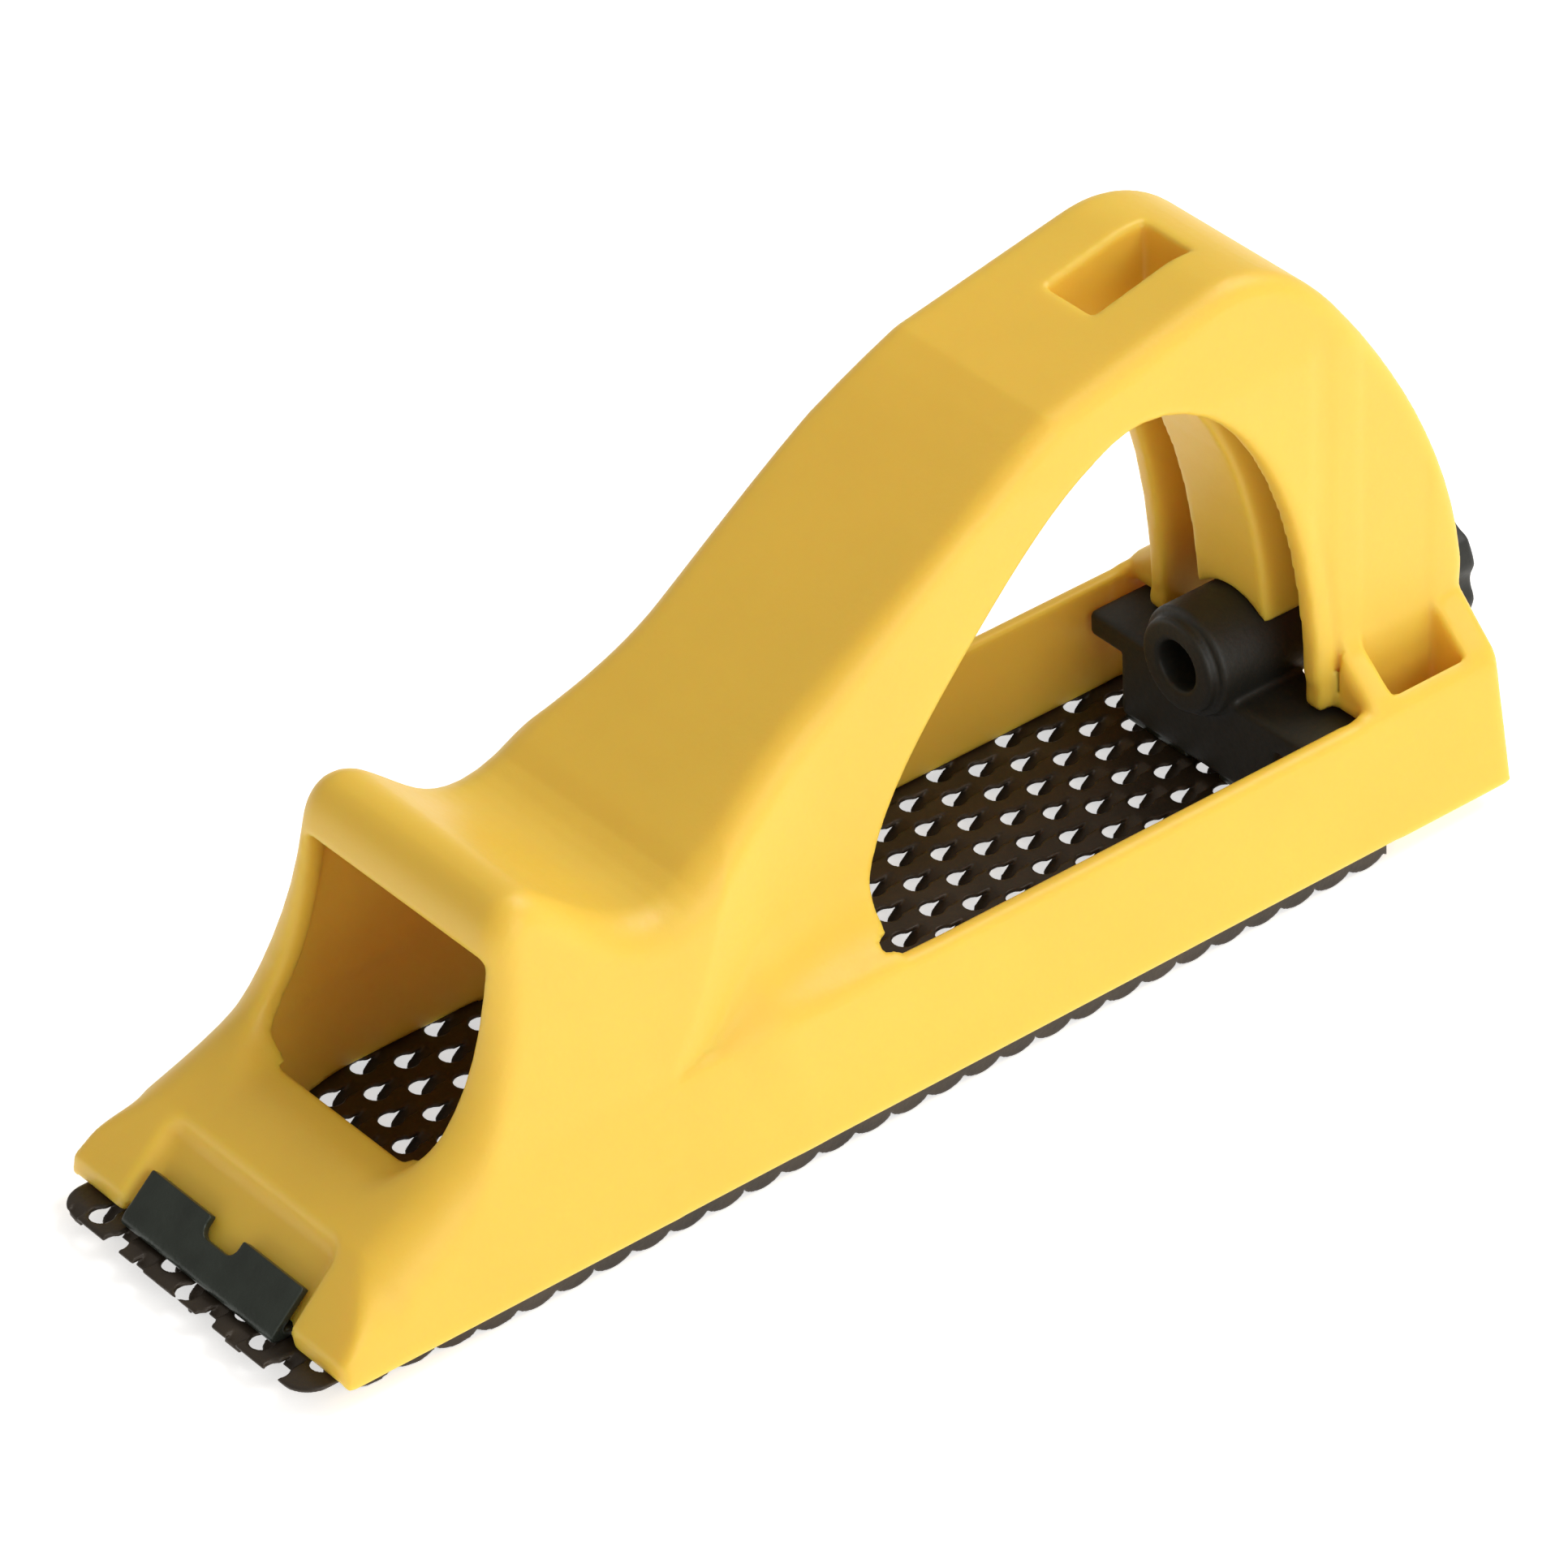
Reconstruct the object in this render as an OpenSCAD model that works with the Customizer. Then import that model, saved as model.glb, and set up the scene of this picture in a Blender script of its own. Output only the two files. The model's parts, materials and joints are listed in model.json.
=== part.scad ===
// Small rasp plane: a one-piece moulded body with an arched handle, and a
// perforated blade stretched under it by a thumb knob at the heel.
// +X points to the toe, +Y to the left side, and Z = 0 is the tooth tips.

/* [Blade] */
// Length of the blade, end to end
blade_l = 140; // [138:0.5:141]
// Width of the blade
blade_w = 41.8; // [41:0.1:42.4]
// Thickness of the sheet
sheet_t = 0.7; // [0.5:0.05:0.8]
// Height of the teeth below the sheet
tooth_h = 2.1; // [1.8:0.1:2.3]
// Spacing of the holes along the blade
hole_pitch = 9.3; // [9.1:0.1:9.6]
// Spacing of the hole rows across the blade
row_pitch = 2.17; // [2.1:0.01:2.2]
// Radius of each punched hole
hole_r = 1.05; // [0.8:0.05:1.1]

/* [Body] */
// Width of the body at the sole
body_w = 45.8; // [45:0.1:46.6]
// Width of the body at the rim
rim_w = 38.8; // [38.6:0.1:40]
// Height of the rim above the tooth tips
rim_z = 16.5; // [16:0.1:17]
// Width of the handle
handle_w = 26.8; // [26:0.1:28]
// Width inside the body, between the side walls
inside_w = 35.6; // [35.2:0.1:36]
// Thickness of the handle's skin
skin = 2.6; // [2.2:0.1:3]

/* [Tension gear] */
// Height of the screw's axis above the tooth tips
screw_z = 17.2; // [17:0.1:17.6]
// Radius of the tension screw
screw_r = 2.5; // [2.4:0.05:2.6]
// Radius of the slider's round boss
boss_r = 6.2; // [5.8:0.1:6.3]
// Radius of the knob over its lobes
knob_r = 9.5; // [8.5:0.1:10]
// Thickness of the knob
knob_t = 4.7; // [4:0.1:4.8]

/* [Hidden] */
$fn = 64;
// Radial gap of a turning fit
fit = 0.06;
sheet_top = tooth_h + sheet_t;
// The sole, on which the blade bears
sole_z = sheet_top + 0.05;
// Places along X
blade_x = 80.5;
toe_x = 76.8;
heel_x = -74.5;
blade_rear_x = blade_x - blade_l;
heel_wall_x = heel_x + 4.7;
pocket_x = -60;
gusset_x = pocket_x + 2.4;
leg_x = -54.6;
// The clips at both ends of the blade: strip thickness, width and notch
clip_t = 1;
clip_w = 24.6;
notch_w = 5.2;
notch_d = 2.1;
// The toe's nose is a wedge of 45 degrees under the front clip
nose_x = blade_x - 4.6;
recess_w = 27.4;
// How far the horn's sides lean in, for each unit of height above the rim
horn_lean = 0.2;
// Slider
slide_front_x = -46.8;
slide_rear_x = -66;
wing_front_x = -49.6;
wing_rear_x = -59;
wing_w = 34;
wing_z0 = 11.2;
wing_z1 = 14.2;
leg_foot_z = 14.6;
foot_x = blade_rear_x + 4.6;
foot_w = 24;
nut_x = -60;
nut_side = 8;
nut_t = 4;
screw_end_x = -53;
hex_r = 5.7;
hex_t = 3.2;
washer_r = 7;
washer_t = 1;
ring_r = 4.6;
ring_t = 0.8;
// Shallow round seat in the heel that the knob's washer turns in
seat_r = 10.2;
seat_d = 0.4;
knob_x = heel_x + seat_d - washer_t - 0.3;

// A cubic curve from a to d, bent by b and c, without its first point
function curve(a, b, c, d, n = 8) = [
    for (i = [1:n])
        let (t = i / n, s = 1 - t)
            s * s * s * a + 3 * s * s * t * b + 3 * s * t * t * c + t * t * t * d
];

// Points moved by d to the right of the way they run
function inset(p, d) = [
    for (i = [0:len(p) - 1])
        let (
            q = p[min(i + 1, len(p) - 1)] - p[max(i - 1, 0)],
            m = norm(q)
        )
            p[i] + d * [q[1], -q[0]] / m
];

// Outline of the top in side view, from the toe's ramp over the horn, down
// into the saddle, up the handle, and down the back of the rear leg
ramp_top = [70, 12.1];
horn_front = [51.9, 37.3];
horn_back = [45.3, 41.2];
strut_foot = [26, 35.6];
strut_head = [-21, 64.4];
crown = [-42, 69.1];
nape = [-58, 61.8];
leg_back = [heel_x, 24.8];
top_line = concat(
    [ramp_top],
    curve(ramp_top, [61, 16.3], [53.6, 18.8], horn_front),
    curve(horn_front, [51.5, 41.3], [48.5, 43.3], horn_back),
    curve(horn_back, [40, 37.3], [34.5, 29.3], strut_foot),
    curve(strut_foot, [12, 42.8], [-8, 58.3], strut_head),
    [crown],
    curve(crown, [-47, 70.3], [-53, 68.3], nape),
    curve(nape, [-64.5, 52.8], [-73, 39.3], leg_back)
);
// The same line inside the skin
under_line = inset(top_line, -skin);
// Outline of the opening that the hand goes through
grip_front = [4.3, rim_z];
grip_mid = [-9, 43.1];
grip_top = [-32, 59.3];
grip_rear = [leg_x, leg_foot_z];
grip_line = concat(
    [grip_front],
    curve(grip_front, [5.2, 27.3], [-2.5, 35.8], grip_mid),
    curve(grip_mid, [-16, 50.8], [-24, 59.3], grip_top),
    curve(grip_top, [-43, 59.3], [-54.5, 44.8], grip_rear)
);

// A side-view outline (X, Z) carried across the width w
module across(w) {
    translate([0, w / 2, 0])
        rotate([90, 0, 0])
            linear_extrude(w)
                children();
}

// An end-view outline (Y, Z) carried from x0 to x1
module along(x0, x1) {
    translate([x0, 0, 0])
        rotate([90, 0, 90])
            linear_extrude(x1 - x0)
                children();
}

// A block between two corners
module block(low, high) {
    translate(low)
        cube(high - low);
}

// A round bar along X from x0 to x1 on the screw's axis
module bar(x0, x1, r) {
    translate([x0, 0, screw_z])
        rotate([0, 90, 0])
            cylinder(h = x1 - x0, r = r);
}

// End view of the outside: leaning side walls
module outer_section() {
    top = 60;
    top_half = rim_w / 2 - horn_lean * (top - rim_z);
    polygon([
        [-body_w / 2, sole_z],
        [body_w / 2, sole_z],
        [rim_w / 2, rim_z],
        [top_half, top],
        [-top_half, top],
        [-rim_w / 2, rim_z]
    ]);
}

// Side view of everything under the top line
module outer_profile() {
    polygon(concat(
        [[toe_x, sole_z], [toe_x, ramp_top[1] - toe_x + ramp_top[0]]],
        top_line,
        [[heel_x, sole_z]]
    ));
}

// Solid outside of the body
module outer_solid() {
    intersection() {
        across(body_w)
            outer_profile();
        along(heel_x, toe_x)
            outer_section();
        union() {
            block([heel_x, -body_w / 2, sole_z], [toe_x, body_w / 2, rim_z]);
            linear_extrude(50)
                polygon([
                    [toe_x, -body_w / 2], [toe_x, body_w / 2], [26, body_w / 2],
                    [6, handle_w / 2], [6, -handle_w / 2], [26, -body_w / 2]
                ]);
        }
    }
    across(handle_w)
        intersection() {
            outer_profile();
            translate([heel_x - 1, 0])
                square([31 - heel_x, 80]);
        }
    for (side = [-1, 1])
        heel_flank(side);
}

// Sloping shoulder from the rear leg down to the rim, on one side
module heel_flank(side) {
    shoulder_z = rim_z + 6;
    along(heel_x, gusset_x)
        polygon([
            [side * (handle_w / 2 - 1), sole_z],
            [side * body_w / 2, sole_z],
            [side * rim_w / 2, rim_z],
            [side * (handle_w / 2 - 1), shoulder_z]
        ]);
}

// Hollow under the horn and in the handle, open below
module inner_hollow() {
    front_x = 68;
    front_z = 9.8;
    rear_z = 45.8;
    // The room narrows upwards by this much on each side, up to high_z
    draft = 4.6;
    high_z = 42;
    // Where the room has its full width, and where only the handle's
    wide_x = 26;
    narrow_x = 8;
    wide = inside_w / 2;
    narrow = handle_w / 2 - skin;
    hollow = [for (p = under_line) if (p[0] > 3 && p[0] < front_x - 0.5) p];
    intersection() {
        across(inside_w)
            polygon(concat(
                [[front_x, -1], [front_x, front_z]], hollow, [[0, rear_z], [0, -1]]
            ));
        along(0, toe_x)
            polygon([[-wide, -1], [wide, -1], [wide - draft, high_z], [draft - wide, high_z]]);
        linear_extrude(60)
            polygon([
                [front_x + 2, -wide], [front_x + 2, wide], [wide_x, wide],
                [narrow_x, narrow], [0, narrow], [0, -narrow], [narrow_x, -narrow],
                [wide_x, -wide]
            ]);
    }
    across(handle_w - 2 * skin)
        polygon(concat(
            [for (p = under_line) if (p[0] < 28) p],
            [[heel_wall_x, -1], [28, -1]]
        ));
}

// Rib in the middle of the rear leg and under the crown, arched over the boss
module leg_rib() {
    rib_w = 8;
    rib_foot_z = 22.6;
    rib_front_x = -30;
    difference() {
        across(rib_w)
            intersection() {
                outer_profile();
                difference() {
                    translate([heel_x, rib_foot_z])
                        square([rib_front_x - heel_x, 60]);
                    polygon(concat(grip_line, [[leg_x, rim_z - 20], [4.3, rim_z - 20]]));
                }
            }
        bar(heel_wall_x, leg_x + 1, boss_r + 0.5);
    }
}

// Long hanging slot through the crown
module hanging_slot() {
    slot_w = 7;
    slot_rear_x = -46.4;
    slot_front_x = -33.6;
    block([slot_rear_x, -slot_w / 2, 50], [slot_front_x, slot_w / 2, 80]);
}

// Window in the horn's front face, with rounded lower corners
module window() {
    half = 14;
    r = 5;
    low = 14.3;
    high = 36.1;
    rear_x = 48;
    along(rear_x, toe_x)
        union() {
            translate([-half, low + r])
                square([2 * half, high - low - r]);
            translate([-half + r, low])
                square([2 * (half - r), r + 1]);
            for (side = [-1, 1])
                translate([side * (half - r), low + r])
                    circle(r);
        }
}

// Recess in the ramp that the front clip lies in
module clip_recess() {
    floor_line = nose_x + sheet_top + 1.1;
    rear_x = 70.3;
    across(recess_w)
        polygon([
            [toe_x + 1, floor_line - toe_x - 1], [rear_x, floor_line - rear_x],
            [rear_x, 20], [toe_x + 1, 20]
        ]);
}

module body() {
    // Front end of the room between the side walls
    room_front_x = 66;
    color("gold")
    difference() {
        union() {
            difference() {
                outer_solid();
                inner_hollow();
                // Room between the side walls, with a deck over it in front
                block([leg_x, -inside_w / 2, -1], [grip_front[0] + 2, inside_w / 2, rim_z + 1]);
                block([0, -inside_w / 2, -1], [room_front_x, inside_w / 2, rim_z - skin]);
                // The hand's opening, above the rim
                intersection() {
                    across(body_w)
                        polygon(grip_line);
                    block([leg_x - 1, -body_w / 2, rim_z], [20, body_w / 2, 80]);
                }
            }
            leg_rib();
        }
        // Cored pockets beside the leg, with a gusset before each of them
        for (side = [0, 1])
            mirror([0, side, 0]) {
                block([heel_wall_x, handle_w / 2, -1], [pocket_x, inside_w / 2 + 0.6, 60]);
                block([gusset_x, handle_w / 2, -1], [leg_x + 1, inside_w / 2, 60]);
            }
        // Clearance for the slider's wings under the leg's walls
        block([pocket_x, -inside_w / 2, -1], [leg_x + 1, inside_w / 2, leg_foot_z]);
        hanging_slot();
        window();
        clip_recess();
        // Room under the nose for the front clip
        block(
            [room_front_x, -recess_w / 2, 0],
            [toe_x + 1, recess_w / 2, sheet_top + clip_t + 0.2]
        );
        bar(heel_x - 1, heel_wall_x + 1, screw_r + fit);
        bar(heel_x - 1, heel_x + seat_d, seat_r);
    }
}

// Tooth below the sheet, its edge towards the toe under a hole at the origin
module tooth() {
    tooth_w = 1.3;
    tooth_l = 2.6;
    edge_x = -0.4;
    root_z = tooth_h + 0.2;
    across(tooth_w)
        polygon([[edge_x, root_z], [edge_x, 0], [edge_x - tooth_l, root_z]]);
}

// Hole positions: each row is shifted along the blade against the last
row_count = 8;
row_shift = 3.89;
// Plain sheet left behind the rear holes, and how far the front ones run out
rear_margin = 3.6;
front_runout = 0.6;
holes = [
    for (row = [-row_count:row_count], step = [-12:12])
        let (x = hole_pitch / 2 - row_shift * row + hole_pitch * step)
            if (x > blade_rear_x + rear_margin && x < blade_x + front_runout)
                [x, row * row_pitch]
];

// Scalloped lip turned down along one long edge of the sheet
module lip(side) {
    lip_t = 0.7;
    tip_z = 0.2;
    valley_z = 1.1;
    step = hole_pitch / 2;
    count = 28;
    start_x = blade_rear_x + 3;
    waves = [
        for (i = [0:count - 1], p = [[0, valley_z], [0.35, tip_z], [0.75, tip_z]])
            [start_x + step * (i + p[0]), p[1]]
    ];
    translate([0, side * (blade_w - lip_t) / 2, 0])
        across(lip_t)
            polygon(concat(
                [[start_x, tooth_h + 0.2]], waves,
                [[start_x + step * count, valley_z], [start_x + step * count, tooth_h + 0.2]]
            ));
}

module blade() {
    corner_r = 3;
    color("dimgray")
    union() {
        translate([0, 0, tooth_h])
            linear_extrude(sheet_t)
                difference() {
                    union() {
                        for (side = [-1, 1], x = [blade_rear_x + corner_r, blade_x - corner_r])
                            translate([x, side * (blade_w / 2 - corner_r)])
                                circle(corner_r);
                        translate([blade_rear_x, corner_r - blade_w / 2])
                            square([blade_l, blade_w - 2 * corner_r]);
                        translate([blade_rear_x + corner_r, -blade_w / 2])
                            square([blade_l - 2 * corner_r, blade_w]);
                    }
                    for (p = holes)
                        translate(p)
                            circle(hole_r, $fn = 24);
                }
        for (p = holes)
            translate([p[0], p[1], 0])
                tooth();
        for (side = [-1, 1])
            lip(side);
    }
}

// Clip folded to 45 degrees from a strip, its foot on the sheet and its
// flange leaning back over a nose whose tip is at x = 0
module clip() {
    tip = 2.4;
    foot_l = 7;
    rise = 4.7;
    low = sheet_top;
    // Thickness of the strip measured along X on the leaning flange
    lean_t = clip_t * sqrt(2);
    difference() {
        across(clip_w)
            polygon([
                [tip - foot_l, low], [tip, low], [tip + 0.3, low + 0.4],
                [tip + 0.4 - rise, low + rise + 0.3],
                [tip + 0.4 - rise - lean_t / 2, low + rise + 0.3 - lean_t / 2],
                [tip - lean_t - 0.3, low + clip_t], [tip - foot_l, low + clip_t]
            ]);
        // Round-bottomed notch in the flange's top edge
        translate([tip + 0.4 - rise, 0, low + rise + 0.3])
            rotate([0, 135, 0])
                translate([0, 0, -3])
                    linear_extrude(6)
                        union() {
                            translate([-2, -notch_w / 2])
                                square([2 + notch_d - 1, notch_w]);
                            translate([notch_d - 1, 0])
                                scale([0.5, 1])
                                    circle(notch_w / 2);
                        }
    }
}

module front_clip() {
    color("darkslategray")
    translate([nose_x, 0, 0])
        clip();
}

module rear_clip() {
    color("darkslategray")
    translate([foot_x, 0, 0])
        mirror([1, 0, 0])
            clip();
}

module tension_slider() {
    foot_line = foot_x - sheet_top - 1.1;
    foot_z = sheet_top + clip_t + 0.2;
    neck_z = 7.6;
    color("#26221f")
    difference() {
        union() {
            bar(slide_rear_x, slide_front_x - 1.2, boss_r);
            bar(slide_front_x - 1.5, slide_front_x, boss_r - 0.9);
            block([wing_rear_x, -wing_w / 2, wing_z0], [wing_front_x, wing_w / 2, wing_z1]);
            // Nose that the rear clip hooks behind
            across(foot_w)
                polygon([
                    [wing_front_x, foot_z], [foot_line + foot_z, foot_z],
                    [foot_line + neck_z, neck_z], [foot_line + neck_z, wing_z0 + 0.1],
                    [wing_front_x, wing_z0 + 0.1]
                ]);
        }
        bar(slide_rear_x - 1, slide_front_x + 1, screw_r + 0.35);
        // Slot that the nut drops into from below
        block(
            [nut_x - nut_t / 2, -nut_side / 2, 0],
            [nut_x + nut_t / 2, nut_side / 2, screw_z + nut_side / 2]
        );
    }
}

module slider_nut() {
    color("silver")
    difference() {
        block(
            [nut_x - nut_t / 2, -nut_side / 2, screw_z - nut_side / 2],
            [nut_x + nut_t / 2, nut_side / 2, screw_z + nut_side / 2]
        );
        bar(nut_x - nut_t, nut_x + nut_t, screw_r + fit);
    }
}

module tension_screw() {
    color("silver")
    union() {
        bar(knob_x - 0.1, screw_end_x, screw_r);
        translate([knob_x - hex_t, 0, screw_z])
            rotate([0, 90, 0])
                cylinder(h = hex_t, r = hex_r, $fn = 6);
    }
}

module knob() {
    lobes = 8;
    color("#2b2623")
    difference() {
        bar(knob_x - knob_t, knob_x, knob_r);
        for (i = [0:lobes - 1])
            rotate_about_screw(i * 360 / lobes)
                translate([knob_x - knob_t - 1, 0, screw_z + knob_r + 1.4])
                    rotate([0, 90, 0])
                        cylinder(h = knob_t + 2, r = 2.4);
        translate([knob_x - hex_t, 0, screw_z])
            rotate([0, 90, 0])
                cylinder(h = hex_t + 1, r = hex_r, $fn = 6);
    }
}

// Children turned by an angle about the screw's axis
module rotate_about_screw(angle) {
    translate([0, 0, screw_z])
        rotate([angle, 0, 0])
            translate([0, 0, -screw_z])
                children();
}

module thrust_washer() {
    color("silver")
    difference() {
        bar(knob_x, knob_x + washer_t, washer_r);
        bar(knob_x - 1, knob_x + washer_t + 1, screw_r + 0.2);
    }
}

module retaining_ring() {
    ring_x = heel_wall_x + 0.3;
    color("silver")
    difference() {
        bar(ring_x, ring_x + ring_t, ring_r);
        bar(ring_x - 1, ring_x + ring_t + 1, screw_r + fit);
        // Open mouth of the ring
        block([ring_x - 1, -1.6, screw_z - ring_r - 1], [ring_x + ring_t + 1, 1.6, screw_z]);
    }
}

body();
blade();
front_clip();
rear_clip();
tension_slider();
slider_nut();
tension_screw();
knob();
thrust_washer();
retaining_ring();
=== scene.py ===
import json
import math
import bpy
import numpy as np
from mathutils import Matrix, Vector


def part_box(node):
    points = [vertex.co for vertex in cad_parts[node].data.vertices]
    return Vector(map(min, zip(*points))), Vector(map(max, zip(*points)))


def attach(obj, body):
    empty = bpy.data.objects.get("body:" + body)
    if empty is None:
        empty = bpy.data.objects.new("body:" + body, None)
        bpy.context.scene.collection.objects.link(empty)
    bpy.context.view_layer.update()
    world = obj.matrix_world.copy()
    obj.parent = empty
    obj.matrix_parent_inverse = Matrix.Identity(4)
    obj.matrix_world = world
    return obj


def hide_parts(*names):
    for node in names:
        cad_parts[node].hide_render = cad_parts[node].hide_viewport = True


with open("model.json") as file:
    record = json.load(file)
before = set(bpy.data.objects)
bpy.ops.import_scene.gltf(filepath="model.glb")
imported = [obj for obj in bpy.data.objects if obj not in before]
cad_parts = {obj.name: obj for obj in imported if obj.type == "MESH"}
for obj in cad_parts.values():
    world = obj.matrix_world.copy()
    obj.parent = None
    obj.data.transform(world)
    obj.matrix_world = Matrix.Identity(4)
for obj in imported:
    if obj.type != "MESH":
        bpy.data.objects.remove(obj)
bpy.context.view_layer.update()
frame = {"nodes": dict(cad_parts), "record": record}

MM = 0.001

# Sizes are in millimetres, with X from heel to toe, Y to the left, Z up.
# HALF is a half width, measured from the middle plane.

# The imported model's own boxes
BODY_LOW, BODY_HIGH = (np.array(corner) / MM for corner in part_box("body"))
BLADE_LOW, BLADE_HIGH = (np.array(corner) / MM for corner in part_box("blade"))
KNOB_REAR, KNOB_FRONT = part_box("knob")[0][0] / MM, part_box("knob")[1][0] / MM
HEEL_X, TOE_X = BODY_LOW[0], BODY_HIGH[0]
SOLE_Z = BODY_LOW[2]
SOLE_HALF = BODY_HIGH[1]
REAR_X, FRONT_X = BLADE_LOW[0], BLADE_HIGH[0]
BLADE_HALF = BLADE_HIGH[1]
SHEET_TOP = BLADE_HIGH[2]

# The body's walls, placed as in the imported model, with a thicker gusset
RIM_Z = 16.5
RIM_HALF = 19.4
INSIDE_HALF = 17.8
HANDLE_HALF = 13.4
SKIN = 2.6
POCKET_X = -60
GUSSET_X = POCKET_X + 3.6
LEG_X = -54.6
LEG_FOOT_Z = 14.6
HEEL_WALL_X = HEEL_X + 4.7

# The screw's axis, and the 45 degree noses at the blade's two ends
SCREW_Z = 17.2
SCREW_R = 2.5
NOSE_BACK = 4.6
NOSE_X = FRONT_X - NOSE_BACK
CLIP_HALF = 12.3

# The blade's staggered holes
HOLE_PITCH = 9.3
ROW_PITCH = 2.17
ROW_SHIFT = 3.89

# Lowest Z of a cut that runs out through the open underside, the lowest Y of
# a cut through the middle plane, and a Z above the whole tool
BELOW = -9
ACROSS = -1
ABOVE = 60


# ---------------------------------------------------------------- shape maths

def smooth(value, start, end):
    """0 before start, 1 after end, with a smooth rise between them."""
    t = np.clip((value - start) / (end - start), 0, 1)
    return t * t * (3 - 2 * t)


def both(a, b, r):
    """What is in a and in b, with the edge between them rounded to radius r."""
    edge = np.hypot(np.maximum(a + r, 0), np.maximum(b + r, 0))
    return np.minimum(np.maximum(a, b), -r) + edge


def either(a, b, r):
    """a and b together, with a fillet of radius r between them."""
    return -both(-a, -b, r)


def less(a, b, r):
    """a without b."""
    return both(a, -b, r)


def curve(a, b, c, d, n=12):
    """Points of a cubic curve from a to d, bent by b and c, without its first."""
    a, b, c, d = (np.array(p, float) for p in (a, b, c, d))
    points = []
    for t in np.linspace(0, 1, n + 1)[1:]:
        s = 1 - t
        points.append(s * s * s * a + 3 * s * s * t * b + 3 * s * t * t * c + t * t * t * d)
    return points


def inset(points, distance):
    """The line moved by distance to the left of the way it runs."""
    p = np.array(points, float)
    along = np.gradient(p, axis=0)
    normal = np.stack([along[:, 1], -along[:, 0]], axis=1)
    return p + distance * normal / np.linalg.norm(normal, axis=1, keepdims=True)


def outline(points, u, v):
    """Signed distance from a closed outline on the plane (u, v), negative inside."""
    points = [tuple(float(c) for c in p) for p in points]
    nearest = np.full(np.broadcast(u, v).shape, np.inf)
    inside = np.zeros(nearest.shape, bool)
    for (ax, ay), (bx, by) in zip(points, points[1:] + points[:1]):
        ex, ey = bx - ax, by - ay
        length = ex * ex + ey * ey
        if length < 1e-12:
            continue
        t = np.clip(((u - ax) * ex + (v - ay) * ey) / length, 0, 1)
        nearest = np.minimum(nearest, (u - ax - t * ex) ** 2 + (v - ay - t * ey) ** 2)
        if ay != by:
            crosses = ((ay > v) != (by > v)) & (u < ax + (v - ay) * ex / ey)
            inside ^= crosses
    return np.where(inside, -1, 1) * np.sqrt(nearest)


def box_field(x, y, z, corner_a, corner_b, r=0.0):
    """Distance from a block between two corners, its edges rounded to r."""
    field = np.maximum(corner_a[0] - x, x - corner_b[0])
    field = both(field, np.maximum(corner_a[1] - y, y - corner_b[1]), r)
    return both(field, np.maximum(corner_a[2] - z, z - corner_b[2]), r)


def bar_field(x, y, z, x0, x1, radius, r=0.0):
    """Distance from a round bar along X on the screw's axis."""
    return both(np.hypot(y, z - SCREW_Z) - radius, np.maximum(x0 - x, x - x1), r)


# ---------------------------------------------------------------- meshing

SMALLEST_ISLAND = 300


def corners_of_cell(values):
    """The eight corner values of every cell, keyed by their offsets."""
    nx, ny, nz = (n - 1 for n in values.shape)
    return {
        (i, j, k): values[i:i + nx, j:j + ny, k:k + nz]
        for i in (0, 1) for j in (0, 1) for k in (0, 1)
    }


def surface_net(values):
    """Vertices (in cells) and quads of the surface where values change sign."""
    corner = corners_of_cell(values)
    count = sum((c < 0).astype(np.int8) for c in corner.values())
    active = (count > 0) & (count < 8)
    number = np.full(active.shape, -1, np.int64)
    number[active] = np.arange(active.sum())
    picked = {key: c[active] for key, c in corner.items()}
    place = np.zeros((int(active.sum()), 3))
    crossings = np.zeros(len(place))
    for a in picked:
        for axis in range(3):
            if a[axis]:
                continue
            b = tuple(1 if n == axis else a[n] for n in range(3))
            fa, fb = picked[a], picked[b]
            cut = (fa < 0) != (fb < 0)
            t = np.where(cut, fa / np.where(cut, fa - fb, 1), 0)
            point = np.tile(np.array(a, float), (len(t), 1))
            point[:, axis] += t
            place += point * cut[:, None]
            crossings += cut
    place /= crossings[:, None]
    place += np.argwhere(active)
    quads = []
    inside = values < 0
    for axis in range(3):
        u, v = (axis + 1) % 3, (axis + 2) % 3
        first = [slice(None)] * 3
        second = [slice(None)] * 3
        first[axis], second[axis] = slice(None, -1), slice(1, None)
        for n in (u, v):
            first[n] = second[n] = slice(1, -1)
        here, there = inside[tuple(first)], inside[tuple(second)]
        for turned in (False, True):
            base = np.argwhere(there & ~here if turned else here & ~there)
            base[:, u] += 1
            base[:, v] += 1
            ring = []
            for du, dv in ((-1, -1), (0, -1), (0, 0), (-1, 0)):
                cell = base.copy()
                cell[:, u] += du
                cell[:, v] += dv
                ring.append(number[cell[:, 0], cell[:, 1], cell[:, 2]])
            if turned:
                ring.reverse()
            quads.append(np.stack(ring, axis=1))
    return place, np.concatenate(quads)


def sample(values, place):
    """Values at points between the grid's own, by trilinear weights."""
    base = np.clip(np.floor(place).astype(int), 0, np.array(values.shape) - 2)
    part = place - base
    total = 0
    for i in (0, 1):
        for j in (0, 1):
            for k in (0, 1):
                weight = (
                    (part[:, 0] if i else 1 - part[:, 0])
                    * (part[:, 1] if j else 1 - part[:, 1])
                    * (part[:, 2] if k else 1 - part[:, 2])
                )
                total = total + weight * values[base[:, 0] + i, base[:, 1] + j, base[:, 2] + k]
    return total


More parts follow.
